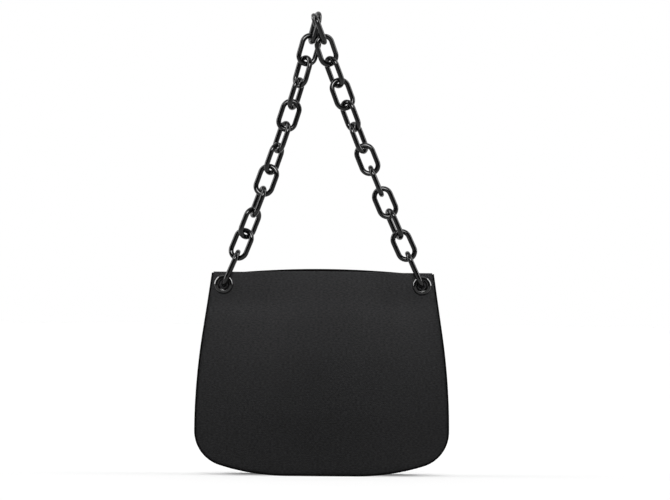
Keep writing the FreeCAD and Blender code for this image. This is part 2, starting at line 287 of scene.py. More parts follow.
def linkTree():
    bendShare = 0.499  # just under half the width, so that the bends of one end don't run into each other
    tree, given, result = geometryTree("ovalLink", (
        ("Link Length", "NodeSocketFloat", 0.036),
        ("Link Width", "NodeSocketFloat", 0.0228),
        ("Wire Diameter", "NodeSocketFloat", 0.0054),
        ("Bend Steps", "NodeSocketInt", 18),
        ("Wire Sides", "NodeSocketInt", 28),
        ("Finish", "NodeSocketMaterial", None),
    ))
    wide = mathNode(tree, "SUBTRACT", given["Link Width"], given["Wire Diameter"])
    tall = mathNode(tree, "SUBTRACT", given["Link Length"], given["Wire Diameter"])
    bar = addNode(tree, "GeometryNodeCurvePrimitiveQuadrilateral", mode="RECTANGLE")
    tree.links.new(wide, bar.inputs["Width"])
    tree.links.new(tall, bar.inputs["Height"])
    bend = addNode(tree, "GeometryNodeFilletCurve", mode="POLY")
    tree.links.new(bar.outputs[0], bend.inputs["Curve"])
    tree.links.new(given["Bend Steps"], bend.inputs["Count"])
    tree.links.new(mathNode(tree, "MULTIPLY", wide, bendShare), bend.inputs["Radius"])
    radius = mathNode(tree, "MULTIPLY", given["Wire Diameter"], 0.5)
    wire = sweepRound(tree, bend.outputs[0], radius, given["Wire Sides"], False)
    finishTree(tree, wire, given["Finish"], result)
    return tree


def pathCurve(tree, given):
    curve = addNode(tree, "GeometryNodeMeshToCurve")
    tree.links.new(given["Path"], curve.inputs["Mesh"])
    return curve.outputs[0]


def cordTree():
    tree, given, result = geometryTree("cordAlongSeam", (
        ("Radius", "NodeSocketFloat", 0.0009),
        ("Sides", "NodeSocketInt", 14),
        ("Finish", "NodeSocketMaterial", None),
    ))
    cord = sweepRound(tree, pathCurve(tree, given), given["Radius"], given["Sides"], True)
    finishTree(tree, cord, given["Finish"], result)
    return tree


def stitchTree():
    tree, given, result = geometryTree("stitchRow", (
        ("Pitch", "NodeSocketFloat", 0.0036),
        ("Stitch Size", "NodeSocketVector", (0.0014, 0.00028, 0.00028)),
        ("Finish", "NodeSocketMaterial", None),
    ))
    marks = addNode(tree, "GeometryNodeCurveToPoints", mode="LENGTH")
    tree.links.new(pathCurve(tree, given), marks.inputs["Curve"])
    tree.links.new(given["Pitch"], marks.inputs["Length"])
    turn = addNode(tree, "FunctionNodeAlignRotationToVector", axis="X")
    tree.links.new(marks.outputs["Tangent"], turn.inputs["Vector"])
    ball = addNode(tree, "GeometryNodeMeshUVSphere")
    setInputs(ball, {"Segments": 8, "Rings": 5, "Radius": 1.0})
    placed = addNode(tree, "GeometryNodeInstanceOnPoints")
    tree.links.new(marks.outputs["Points"], placed.inputs["Points"])
    tree.links.new(ball.outputs["Mesh"], placed.inputs["Instance"])
    tree.links.new(turn.outputs[0], placed.inputs["Rotation"])
    tree.links.new(given["Stitch Size"], placed.inputs["Scale"])
    finishTree(tree, placed.outputs[0], given["Finish"], result)
    return tree


# Object helpers

def addObject(name, data):
    made = bpy.data.objects.new(name, data)
    scene.collection.objects.link(made)
    return made


def modifiedMesh(holder):
    # the mesh as its modifiers leave it; the holder itself goes
    graph = bpy.context.evaluated_depsgraph_get()
    mesh = bpy.data.meshes.new_from_object(holder.evaluated_get(graph))
    holder.modifiers.clear()
    bpy.data.objects.remove(holder)
    return mesh


def grow(tree, start, values):
    # runs a tree on a start mesh and hands back the plain mesh
    holder = addObject("holder", start)
    maker = holder.modifiers.new("maker", "NODES")
    maker.node_group = tree
    for item in tree.interface.items_tree:
        if item.in_out == "INPUT" and item.name in values:
            maker[item.identifier] = values[item.name]
    return modifiedMesh(holder)


def pathMesh(points):
    path = bpy.data.meshes.new("path")
    edges = [(i, i + 1) for i in range(len(points) - 1)]
    path.from_pydata([Vector(point) * mm for point in points], edges, [])
    return path


def place(name, mesh, finish, nodes=(), body="bag"):
    piece = addObject(name, mesh)
    if not mesh.materials:
        mesh.materials.append(finishes[finish])
    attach(piece, body)
    if nodes:
        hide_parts(*nodes)


# Form of the bag: outline from the front, and depth at each place

bagForm = {
    "height": 211.0, "edgeHeight": 212.3, "halfWidth": 133.2, "flatHalf": 36.0, "baseRadius": 235.0,
    "cornerStart": 107.0, "bowRadius": 700.0, "sideLean": 8.3, "mouthHalf": 83.0, "mouthRise": 1.4,
    "backRise": 2.1, "topRounding": 1.0, "baseDepth": 29.0, "pinchDepth": 2.8, "swell": 9.0,
    "depthHeights": (-8.0, 63.3, 122.4, 164.6, 181.5, 223.5),
    "taper": (1.0, 0.76, 0.45, 0.17, 0.0, 0.0),
    "swellAmount": (0.05, 0.70, 1.0, 1.15, 1.30, 0.90),
    "swellWidth": (1.0, 1.0, 0.95, 0.80, 0.69, 0.69),
    "eyeletHalfSpan": 104.07, "eyeletHeight": 199.2,
}
tableForm = {"low": -10.0, "high": 240.0, "step": 0.5, "softSteps": 30, "softReach": 3.0}
arcSteps = 41
mouthSteps = 80
edgeShares = (0.0, 0.04, 0.15, 0.35, 0.65, 1.0, 1.6)  # of the thickness, from the cloth's edge inwards
cornerTrim = 18  # steps from the middle of a top corner back to where the side seam ends
heightTable = np.arange(tableForm["low"], tableForm["high"], tableForm["step"])
softKernel = np.exp(-0.5 * np.linspace(-tableForm["softReach"], tableForm["softReach"],
                                       2 * tableForm["softSteps"] + 1) ** 2)
softKernel /= softKernel.sum()


def softTable(values):
    straight = np.interp(heightTable, bagForm["depthHeights"], values)
    return np.convolve(np.pad(straight, tableForm["softSteps"], mode="edge"), softKernel, mode="valid")


taperTable, swellTable, swellWidthTable = (
    softTable(bagForm[key]) for key in ("taper", "swellAmount", "swellWidth"))


def halfDepth(x, z):
    # half the depth between the outer faces of both panels, in the CAD's own rule, rounded between heights
    form = bagForm
    pinch = form["pinchDepth"]
    side = pinch + np.interp(z, heightTable, taperTable) * (form["baseDepth"] - pinch)
    reach = np.interp(z, heightTable, swellWidthTable) * form["halfWidth"]
    share = np.minimum(np.abs(x) / reach, 1)
    return side + np.interp(z, heightTable, swellTable) * form["swell"] * (1 + np.cos(np.pi * share)) / 2


def mound(x, z, centreX, centreZ, spreadX, spreadZ):
    return np.exp(-0.5 * (((x - centreX) / spreadX) ** 2 + ((z - centreZ) / spreadZ) ** 2))


def arcPoints(x, z, radius, start, end):
    angles = np.linspace(start, end, arcSteps)
    return [(x + radius * math.cos(a), z + radius * math.sin(a)) for a in angles]


def mouthShare(x):
    # the mouth's edge runs level from each corner and arches between the gathers
    return np.maximum(1 - (x / bagForm["mouthHalf"]) ** 2, 0)


def edgeRise(side):
    return bagForm["mouthRise"] + (bagForm["backRise"] if side > 0 else 0)


def rightLoop(inset, top, rise=0.0):
    # right half of the outline, base's middle to mouth's middle, and the two corners' places in it
    form = bagForm
    rounding = form["topRounding"]
    sweep = math.asin((form["cornerStart"] - form["flatHalf"]) / form["baseRadius"])
    cornerRadius = (form["halfWidth"] - form["cornerStart"]) / (1 - math.sin(sweep))
    cornerX = form["flatHalf"] + (form["baseRadius"] - cornerRadius) * math.sin(sweep)
    cornerZ = form["baseRadius"] - (form["baseRadius"] - cornerRadius) * math.cos(sweep)
    lean, down = math.radians(form["sideLean"]), -math.pi / 2
    line = [(0.0, inset)]
    line += arcPoints(form["flatHalf"], form["baseRadius"], form["baseRadius"] - inset, down, down + sweep)
    lowCorner = len(line) + arcSteps // 2
    line += arcPoints(cornerX, cornerZ, cornerRadius - inset, down + sweep, 0)
    bowX = cornerX + cornerRadius - form["bowRadius"]
    line += arcPoints(bowX, cornerZ, form["bowRadius"] - inset, 0, lean)
    cornerTop = line[-1][0] - (top - line[-1][1]) * math.tan(lean)
    tangent = rounding * math.tan((math.pi / 2 - lean) / 2)
    highCorner = len(line) + arcSteps // 2
    line += arcPoints(cornerTop - tangent, top - rounding, rounding, lean, math.pi / 2)
    for x in np.linspace(cornerTop - tangent, 0, mouthSteps)[1:]:
        line.append((x, top + rise * mouthShare(x)))
    return np.array(line), lowCorner, highCorner


def alongLine(line, shares):
    steps = np.concatenate(([0], np.cumsum(np.linalg.norm(np.diff(line, axis=0), axis=1))))
    return np.stack([np.interp(np.asarray(shares) * steps[-1], steps, line[:, k]) for k in (0, 1)], axis=1)


def mirrored(right):
    # the line from its far left end through the middle to its far right end
    return np.concatenate(((right * (-1, 1))[:0:-1], right))


def netSteps(counts, sizes, thickness):
    # even steps both ways, with a few close ones at the ends, where the cloth's edge is rounded
    both = []
    for count, length in zip(counts, sizes):
        near = np.array(edgeShares) * thickness / length
        even = np.linspace(near[-1], 1 - near[-1], count)[1:-1]
        both.append(np.concatenate((near, even, 1 - near[::-1])))
    return both


def frontPatch(inset, top, rise, across, up):
    # even net of x and z places inside the outline
    line, low, high = rightLoop(inset, top, rise)
    half = np.abs(across * 2 - 1)[:, None]
    sign = np.where(across < 0.5, -1.0, 1.0)[:, None]
    facing = np.concatenate((sign, np.ones_like(sign)), axis=1)
    bottom = alongLine(line[:low + 1], half[:, 0]) * facing
    mouth = alongLine(line[high:], 1 - half[:, 0]) * facing
    right = alongLine(line[low:high + 1], up)
    left = right * (-1.0, 1.0)
    u, v = across[None, :, None], up[:, None, None]
    net = (1 - v) * bottom[None] + v * mouth[None] + (1 - u) * left[:, None] + u * right[:, None]
    net -= (1 - u) * ((1 - v) * left[0] + v * left[-1]) + u * ((1 - v) * right[0] + v * right[-1])
    return net[..., 0], net[..., 1]


def clothShell(name, middle, steps, sizes, thickness, uv, outward):
    # closed sheet about a net of middle points, its rim rounded over half the thickness
    across, up = steps
    sideways, upways = np.gradient(middle, axis=1), np.gradient(middle, axis=0)
    normal = np.cross(sideways, upways)
    normal /= np.maximum(np.linalg.norm(normal, axis=2, keepdims=True), 1e-12)
    flip = (normal * np.asarray(outward)).sum() < 0
    if flip:
        normal = -normal
    edge = np.minimum(np.minimum(across, 1 - across)[None, :] * sizes[0],
                      np.minimum(up, 1 - up)[:, None] * sizes[1])
    reach = thickness / 2
    away = reach - np.clip(edge, 0, reach)
    lift = np.sqrt(np.maximum(reach ** 2 - away ** 2, 0))[..., None] * normal
    rows, columns = middle.shape[:2]
    outer = np.arange(rows * columns).reshape(rows, columns)
    inner = outer.copy()
    inside = np.zeros((rows, columns), bool)
    inside[1:-1, 1:-1] = True
    inner[inside] = rows * columns + np.arange(inside.sum())
    points = np.concatenate(((middle + lift).reshape(-1, 3), (middle - lift)[inside]))
    quads = []
    for table, turned in ((outer, flip), (inner, not flip)):
        four = [table[:-1, :-1], table[:-1, 1:], table[1:, 1:], table[1:, :-1]]
        if turned:
            four.reverse()
        quads.append(np.stack(four, axis=-1).reshape(-1, 4))
    mesh = bpy.data.meshes.new(name)
    mesh.from_pydata((points * mm).tolist(), [], np.concatenate(quads).tolist())
    flatUv = np.concatenate((uv.reshape(-1, 2), uv[inside])) * mm
    layer = mesh.uv_layers.new(name="clothUv")
    loops = np.zeros(len(mesh.loops), np.int32)
    mesh.loops.foreach_get("vertex_index", loops)
    layer.uv.foreach_set("vector", flatUv[loops].astype(np.float32).ravel())
    mesh.shade_smooth()
    mesh.validate()
    return mesh


def wallShell(name, x, y, z, steps, sizes, thickness, outward):
    # cloth that stands across the bag, its weave laid out by x and z
    return clothShell(name, np.stack((x, y, z), axis=2), steps, sizes, thickness, np.stack((x, z), axis=2),
                      (0, outward, 0))


punchForm = {"reach": 40.0, "steps": 40}


def punch(mesh, radius):
    # round holes through the cloth for the two eyelets
    count = punchForm["steps"]
    cutter = bpy.data.meshes.new("punch")
    points, faces = [], []
    for side in (-1, 1):
        first = len(points)
        for y in (-punchForm["reach"], punchForm["reach"]):
            for step in range(count):
                angle = math.tau * step / count
                points.append(Vector((side * bagForm["eyeletHalfSpan"] + radius * math.cos(angle), y,
                                      bagForm["eyeletHeight"] + radius * math.sin(angle))) * mm)
        for step in range(count):
            after = (step + 1) % count
            faces.append((first + step, first + after, first + count + after, first + count + step))
        faces += [tuple(first + count - 1 - step for step in range(count)),
                  tuple(first + count + step for step in range(count))]
    cutter.from_pydata(points, [], faces)
    tool = addObject("punch", cutter)
    cloth = addObject("punched", mesh)
    cut = cloth.modifiers.new("cut", "BOOLEAN")
    cut.object, cut.operation, cut.solver = tool, "DIFFERENCE", "EXACT"
    made = modifiedMesh(cloth)
    bpy.data.objects.remove(tool)
    return made


# Outer panels

panelForm = {"inset": 1.7, "thickness": 1.4, "steps": (118, 92), "size": (260.0, 190.0), "holeRadius": 5.7,
             "roll": 0.55, "rollWidth": 4.0}
gatherForm = (
    {"height": 1.5, "centreX": 77.0, "centreZ": 193.0, "spreadX": 8.5, "spreadZ": 24.0},
    {"height": 0.7, "centreX": 84.0, "centreZ": 160.0, "spreadX": 12.0, "spreadZ": 16.0},
)
unevenForm = {"height": 0.35, "waveX": 41.0, "sideShift": 0.7, "waveZ": 37.0, "shiftZ": 1.1,
              "fineHeight": 0.2, "fineX": 19.0, "fineZ": 27.0, "calmTop": 30.0, "calmFoot": 25.0}


def panelSwell(x, z, side):
    # soft gathers between the eyelets and the full middle, and the slow unevenness of a sewn bag
    gather = 0.0
    for form in gatherForm:
        gather = gather + form["height"] * mound(np.abs(x), z, form["centreX"], form["centreZ"],
                                                 form["spreadX"], form["spreadZ"])
    form = unevenForm
    slow = form["height"] * np.sin(x / form["waveX"] + form["sideShift"] * side) * np.sin(
        z / form["waveZ"] + form["shiftZ"])
    slow = slow + form["fineHeight"] * np.sin(x / form["fineX"] + z / form["fineZ"] + side)
    calm = np.clip((bagForm["height"] - z) / form["calmTop"], 0, 1) * np.clip(z / form["calmFoot"], 0, 1)
    return gather + slow * calm


def panelMesh(name, side):
    form = panelForm
    wide, tall = form["size"]
    across, up = netSteps(form["steps"], form["size"], form["thickness"])
    x, z = frontPatch(form["inset"], bagForm["edgeHeight"], edgeRise(side), across, up)
    rim = np.minimum(np.minimum(across, 1 - across)[None, :] * wide, (up * tall)[:, None])
    rolled = form["roll"] * np.clip(1 - rim / form["rollWidth"], 0, 1) ** 2
    depth = halfDepth(x, z) + panelSwell(x, z, side) - form["thickness"] / 2 - rolled
    sheet = wallShell(name, x, side * depth, z, (across, up), form["size"], form["thickness"], side)
    return punch(sheet, form["holeRadius"])


place("frontPanel", panelMesh("frontPanel", -1), "panel", ["front_panel"])
place("backPanel", panelMesh("backPanel", 1), "panel", ["back_panel"])
print("outer panels sewn")


# Piping in the front and back seams

pipingForm = {"radius": 0.9, "inset": 0.9, "sink": 0.45, "steps": 260, "sides": 14}
seamTree = cordTree()


def seamLine(inset, top, steps):
    # the outline from the left mouth corner round the base to the right one
    line, _, high = rightLoop(inset, top)
    return mirrored(alongLine(line[:high - cornerTrim], np.linspace(0, 1, steps)))


for end, side in (("front", -1), ("back", 1)):
    seam = seamLine(pipingForm["inset"], bagForm["edgeHeight"], pipingForm["steps"])
    depth = side * (halfDepth(seam[:, 0], seam[:, 1]) - pipingForm["sink"])
    cord = grow(seamTree, pathMesh(np.stack((seam[:, 0], depth, seam[:, 1]), axis=1).tolist()), {
        "Radius": pipingForm["radius"] * mm, "Sides": pipingForm["sides"], "Finish": finishes["piping"]})
    place(end + "Piping", cord, "piping", [end + "_piping"])
print("piping laid")


# Gusset, its lining and the base board: strips that follow the outline

stripForm = {
    "gusset": {"node": "gusset", "finish": "panel", "slot": "shell", "inset": 0.7, "thickness": 1.4,
               "indent": 1.6, "bow": 3.2, "top": 211.6},
    "gussetLining": {"node": "gusset_lining", "finish": "lining", "slot": "lining", "inset": 1.95,
                     "thickness": 0.6, "indent": 2.6, "bow": 3.2, "top": 174.7},
    "baseBoard": {"node": "base_board", "finish": "lining", "slot": "board", "inset": 3.4,
                  "thickness": 1.8, "indent": 2.6, "bow": 0.0, "top": 60.0, "halfLength": 85.0},
}
stripNet = {"steps": (230, 22), "leastHalf": 0.5, "bowFoot": 12.0, "bowRise": 60.0, "bowLeast": 1.0,
            "bowSpan": 14.0, "baseHalf": 60.0}


def cutAt(line, x):
    # the line up to the given x
    last = np.argmin(line[:, 0] < x)
    share = (x - line[last - 1, 0]) / (line[last, 0] - line[last - 1, 0])
    return np.concatenate((line[:last], [line[last - 1] + share * (line[last] - line[last - 1])]))


def stripMesh(name, form):
    net = stripNet
    line, _, high = rightLoop(form["inset"], form["top"])
    right = line[:high - cornerTrim]
    if "halfLength" in form:
        right = cutAt(right, form["halfLength"])
    whole = mirrored(right)
    size = (np.linalg.norm(np.diff(whole, axis=0), axis=1).sum(), 2 * bagForm["baseDepth"])
    along, over = netSteps(net["steps"], size, form["thickness"])
    seam = alongLine(whole, along)
    heading = np.gradient(seam, axis=0)
    heading /= np.linalg.norm(heading, axis=1, keepdims=True)
    inward = np.stack((-heading[:, 1], heading[:, 0]), axis=1)
    halfWidth = np.maximum(halfDepth(seam[:, 0], seam[:, 1]) - form["indent"], net["leastHalf"])
    bow = form["bow"] * np.clip((seam[:, 1] - net["bowFoot"]) / net["bowRise"], 0, 1)
    bow = bow * np.clip((halfWidth - net["bowLeast"]) / net["bowSpan"], 0, 1)
    hollow = 1 - (2 * over - 1) ** 2
    x = seam[None, :, 0] + hollow[:, None] * (bow * inward[:, 0])[None]
    z = seam[None, :, 1] + hollow[:, None] * (bow * inward[:, 1])[None]
    y = (2 * over - 1)[:, None] * halfWidth[None]
    uv = np.stack((y, np.broadcast_to(along[None] * size[0], x.shape)), axis=2)
    down = np.array((0.0, 0.0, -1.0)) * (np.abs(x) < net["baseHalf"])[..., None]
    return clothShell(name, np.stack((x, y, z), axis=2), (along, over), size, form["thickness"], uv, down)


for name, form in stripForm.items():
    place(name, stripMesh(name, form), form["finish"], [form["node"]])
print("gusset, its lining and the base board made")


# Facings at the mouth, linings below them, and the slip pocket

facingForm = {"inset": 1.7, "drop": {-1: 1.0, 1: -0.3}, "bottom": 175.0, "depth": 2.1, "thickness": 0.9,
              "swell": 0.9, "steps": (110, 18), "size": (240.0, 36.0)}
liningForm = {"inset": 1.7, "top": 174.7, "depth": 1.95, "thickness": 0.6, "steps": (90, 60),
              "size": (255.0, 150.0)}
pocketForm = {"halfWidth": 62.0, "bottom": 62.0, "top": 148.3, "depth": 2.8, "thickness": 0.6, "slack": 1.6,
              "hem": 9.0, "hemRise": 0.25, "steps": (60, 44)}


def facingDepth(x, z, side):
    return halfDepth(x, z) + panelSwell(x, z, side) * facingForm["swell"] - facingForm["depth"]


def facingMesh(name, side):
    form = facingForm
    top = bagForm["edgeHeight"] - form["drop"][side]
    across, up = netSteps(form["steps"], form["size"], form["thickness"])
    line, low, high = rightLoop(form["inset"], top)
    edge = line[low:high - cornerTrim]
    z = form["bottom"] + up[:, None] * (top - form["bottom"])
    order = np.argsort(edge[:, 1])
    x = np.interp(z, edge[order, 1], edge[order, 0]) * (2 * across - 1)[None]
    z = z + up[:, None] * edgeRise(side) * mouthShare(x)
    sheet = wallShell(name, x, side * facingDepth(x, z, side), z, (across, up), form["size"],
                      form["thickness"], side)
    return punch(sheet, panelForm["holeRadius"])


def liningMesh(name, side):
    form = liningForm
    steps = netSteps(form["steps"], form["size"], form["thickness"])
    x, z = frontPatch(form["inset"], form["top"], 0.0, *steps)
    depth = halfDepth(x, z) - form["depth"]
    return wallShell(name, x, side * depth, z, steps, form["size"], form["thickness"], side)


def pocketMesh(name):
    form = pocketForm
    size = (2 * form["halfWidth"], form["top"] - form["bottom"])
    across, up = netSteps(form["steps"], size, form["thickness"])
    x = np.broadcast_to(form["halfWidth"] * (2 * across - 1), (len(up), len(across)))
    z = np.broadcast_to(form["bottom"] + size[1] * up[:, None], x.shape)
    slack = form["slack"] * up[:, None] ** 3 * (1 - (x / form["halfWidth"]) ** 2)
    hem = form["hemRise"] * (z > form["top"] - form["hem"])
    depth = halfDepth(x, z) - form["depth"] - slack - hem
    return wallShell(name, x, depth, z, (across, up), size, form["thickness"], -1)


for side, end in ((-1, "front"), (1, "back")):
    place(end + "Facing", facingMesh(end + "Facing", side), "facing", [end + "_facing"])
    place(end + "Lining", liningMesh(end + "Lining", side), "lining", [end + "_lining"])
place("slipPocket", pocketMesh("slipPocket"), "lining", ["slip_pocket"])
print("facings, linings and pocket made")


# Stitch rows inside the bag

stitchForm = {"pitch": 3.4, "size": (1.35, 0.26, 0.26), "lift": 0.1, "facingMargin": 2.4, "facingHalf": 116.0,
              "facingSteps": 120, "pocketMargin": 2.0, "pocketTop": 1.0, "pocketSteps": (50, 40)}
sewingTree = stitchTree()


def stitch(name, points):
    mesh = grow(sewingTree, pathMesh(points), {
        "Pitch": stitchForm["pitch"] * mm, "Stitch Size": [length * mm for length in stitchForm["size"]],
        "Finish": finishes["thread"]})
    place(name, mesh, "thread")


def facingRow(side):
    form = stitchForm
    x = np.linspace(-form["facingHalf"], form["facingHalf"], form["facingSteps"])
    z = np.full_like(x, facingForm["bottom"] + form["facingMargin"])
    depth = facingDepth(x, z, side) - facingForm["thickness"] / 2 - form["lift"]
    return np.stack((x, side * depth, z), axis=1).tolist()


def pocketRow():
    form = stitchForm
    across, up = form["pocketSteps"]
    half = pocketForm["halfWidth"] - form["pocketMargin"]
    low, high = pocketForm["bottom"] + form["pocketMargin"], pocketForm["top"] - form["pocketTop"]
    left = [(-half, z) for z in np.linspace(high, low, up)]
    base = [(x, low) for x in np.linspace(-half, half, across)[1:-1]]
    right = [(half, z) for z in np.linspace(low, high, up)]
    x, z = np.array(left + base + right).T
    depth = halfDepth(x, z) - pocketForm["depth"] - pocketForm["thickness"] / 2 - form["lift"]
    return np.stack((x, depth, z), axis=1).tolist()


stitch("frontFacingStitches", facingRow(-1))
stitch("backFacingStitches", facingRow(1))
stitch("pocketStitches", pocketRow())
print("stitch rows sewn")


# Turned metal: eyelets, washers and the closing snap

turningForm = {"weld": 0.00001, "sharpAngle": 38.0}


def turned(name, profile, segments, placing):
    # closed profile of radius and height pairs, turned about its own axis, then placed
    points, faces = [], []
    count = len(profile)
    for step in range(segments):
        angle = math.tau * step / segments
        for radius, height in profile:
            spot = Vector((radius * math.cos(angle), radius * math.sin(angle), height))
            points.append(placing @ (spot * mm))
    for step in range(segments):
        after = (step + 1) % segments
        for k in range(count):
            n = (k + 1) % count
            faces.append((step * count + k, after * count + k, after * count + n, step * count + n))
    mesh = bpy.data.meshes.new(name)
    mesh.from_pydata(points, [], faces)
    mesh.validate()
    tool = addObject("tool", mesh)
    weld = tool.modifiers.new("weld", "WELD")
    weld.merge_threshold = turningForm["weld"]
    made = modifiedMesh(tool)
    made.shade_smooth()
    made.set_sharp_from_angle(angle=math.radians(turningForm["sharpAngle"]))
    return made


def curved(start, through, end, count):
    # three point arc in the profile
    (ax, ay), (bx, by), (cx, cy) = start, through, end
    aa, bb, cc = ax ** 2 + ay ** 2, bx ** 2 + by ** 2, cx ** 2 + cy ** 2
    d = 2 * (ax * (by - cy) + bx * (cy - ay) + cx * (ay - by))
    ux = (aa * (by - cy) + bb * (cy - ay) + cc * (ay - by)) / d
    uy = (aa * (cx - bx) + bb * (ax - cx) + cc * (bx - ax)) / d
    angles = [math.atan2(y - uy, x - ux) for x, y in (start, through, end)]
    for k in (1, 2):
        while angles[k] - angles[k - 1] > math.pi:
            angles[k] -= math.tau
        while angles[k] - angles[k - 1] < -math.pi:
            angles[k] += math.tau
    radius = math.hypot(ax - ux, ay - uy)
    return [(ux + radius * math.cos(a), uy + radius * math.sin(a))
            for a in np.linspace(angles[0], angles[2], count)]


eyeletForm = {
    "hole": 4.8, "wall": 0.7, "flange": 10.0, "rise": 1.4, "bead": 2.6, "bevel": 1.1, "bevelShare": 0.52,
    "funnel": 1.9, "countersink": ((0.5, 0.0), (0.8, 0.16), (1.5, 0.52)), "throat": 0.75, "seat": 3.0,
    "backSeat": 4.2, "rim": 1.3, "washer": 1.0, "gap": 0.2, "segments": 96, "bevelSteps": 10,
    "throatSteps": 8, "roundSteps": 12,
}


def eyeletProfile():
    # height runs along the bore from the front to the back, so the seat on the front cloth is negative
    f = eyeletForm
    hole, seat, back, barrel = f["hole"], -f["seat"], f["backSeat"], f["hole"] + f["wall"]
    mouth, crown, face = hole + f["funnel"], f["flange"] - f["bevel"], seat - f["rise"]
    foot, cut = face + f["bevel"], f["bevel"] * f["bevelShare"]
    front = [(f["flange"], seat)]
    front += curved((f["flange"], foot), (crown + cut, foot - cut), (crown, face), f["bevelSteps"])
    middle, end, after = ((mouth - inward, face + sunk) for inward, sunk in f["countersink"])
    throat = curved((mouth, face), middle, end, f["throatSteps"])
    throat += curved(after, (hole, face + f["throat"]), (hole, seat + f["wall"]), f["throatSteps"])
    lip = curved((hole, back), (barrel, back + f["wall"]), (barrel + f["rim"], back), f["roundSteps"])
    return front + throat + lip + [(barrel, back), (barrel, seat)]


def washerProfile():
    f = eyeletForm
    seat, inner = f["seat"], f["hole"] + f["wall"] + f["gap"]
    top = seat + f["washer"]
    dome = curved((inner + f["rim"], top), (f["flange"] - f["bead"] / 2, seat + f["washer"] / 2 + f["gap"]),
                  (f["flange"], seat), f["roundSteps"])
    return [(inner, seat), (inner, top)] + dome


for end, side in (("left", -1), ("right", 1)):
    centre = Vector((side * bagForm["eyeletHalfSpan"], 0, bagForm["eyeletHeight"])) * mm
    bore = Matrix.Translation(centre) @ Matrix.Rotation(-math.pi / 2, 4, "X")
    for name, profile, node in (("Eyelet", eyeletProfile(), "_eyelet"),
                                ("EyeletWasher", washerProfile(), "_eyelet_washer")):
        mesh = turned(end + name, profile, eyeletForm["segments"], bore)
        place(end + name, mesh, "fitting", [end + node])

snapForm = {
    "drop": 14.0, "seat": 2.75, "radius": 9.0, "edge": 0.6, "edgeShare": 0.3, "segments": 64,
    "edgeSteps": 6, "socket": 2.6, "boreRadius": 3.2, "boreDepth": 1.7,
    "groove": ((1.6, 0.0), (1.2, 0.25), (0.3, 0.0), (0.0, 0.3)),
    "plate": 1.6, "stud": 2.8, "studHeight": 1.5, "foot": 1.5, "waist": 0.2, "shoulder": 0.6, "crown": 0.5,
}


def snapPlacing(side):
    f = snapForm
    height = bagForm["height"] - f["drop"]
    ends = np.array((height - f["radius"], height + f["radius"]))
    low, high = (float(depth) for depth in halfDepth(np.zeros(2), ends))
    slope = math.atan2(low - high, 2 * f["radius"])
    gap = (low + high) / 2 - f["seat"] / math.cos(slope)
    normal = Vector((0, -side * math.cos(slope), -math.sin(slope)))
    turn = normal.to_track_quat("Z", "Y").to_matrix().to_4x4()
    return Matrix.Translation(Vector((0, side * gap, height)) * mm) @ turn


def roundedDisc(height):
    radius, edge = snapForm["radius"], snapForm["edge"]
    cut = edge * snapForm["edgeShare"]
    return [(0, 0), (radius, 0)] + curved((radius, height - edge), (radius - cut, height - cut),
                                          (radius - edge, height), snapForm["edgeSteps"])


def socketProfile():
    f = snapForm
    top, bore = f["socket"], f["boreRadius"]
    groove = [(bore + outward, top - sunk) for outward, sunk in f["groove"]]
    return roundedDisc(top) + groove + [(bore, top - f["boreDepth"]), (0, top - f["boreDepth"])]


def studProfile():
    f = snapForm
    plate, stud, top = f["plate"], f["stud"], f["plate"] + f["studHeight"]
    neck = [(stud + f["foot"], plate), (stud - f["waist"], plate + f["waist"]), (stud, top - f["shoulder"])]
    return roundedDisc(plate) + neck + [(stud - f["crown"], top), (0, top)]


for name, profile, side, node in (("snapSocket", socketProfile(), -1, "snap_socket"),
                                  ("snapStud", studProfile(), 1, "snap_stud")):
    mesh = turned(name, profile, snapForm["segments"], snapPlacing(side))
    place(name, mesh, "snap", [node])
print("eyelets and snap turned")


# Chain: both strands from the eyelets up, each link on its own body

chainForm = {
    "wire": 5.4, "length": 36.0, "width": 22.8, "endLength": 42.8, "endWidth": 24.8, "drop": 0.2, "count": 12,
    "overlap": 1.8, "topStep": 0.7175,
    "left": {"side": -1, "slack": 1.165,
             "twists": (90, -22, 42, -74, -10, 54, -62, 2, 66, -50.3, 10.4, 105.4),
             "topLeans": (-1.1, 0.0, 0.3), "topTilts": (-0.9, -1.2, 14.3)},
    "right": {"side": 1, "slack": 0.675,
              "twists": (90, 0, -72, 0, 88, -4, 62, -52, 12, -55.8, 20.6, 97.4),
              "topLeans": (1.1, 0.0, 2.2), "topTilts": (5.3, 16.0, 18.8)},
}


def turnAbout(axis, degrees):
    return Matrix.Rotation(math.radians(degrees), 3, axis)


def linkReach(number, slack):
    form = chainForm
    if number == 0:
        return form["endLength"] - form["wire"] - (form["wire"] + slack) / 2
    return form["length"] - 2 * form["wire"] - slack


def strandRises():
    # rise of each link, with sideways steps that fade towards the strap's top
    form = chainForm
    meanSlack = (form["left"]["slack"] + form["right"]["slack"]) / 2
    reaches = np.array([linkReach(number, meanSlack) for number in range(form["count"])])
    steps = reaches * np.linspace(1, form["topStep"], form["count"])
    steps *= (bagForm["eyeletHalfSpan"] + form["overlap"]) / steps.sum()
    return np.sqrt(reaches ** 2 - steps ** 2)


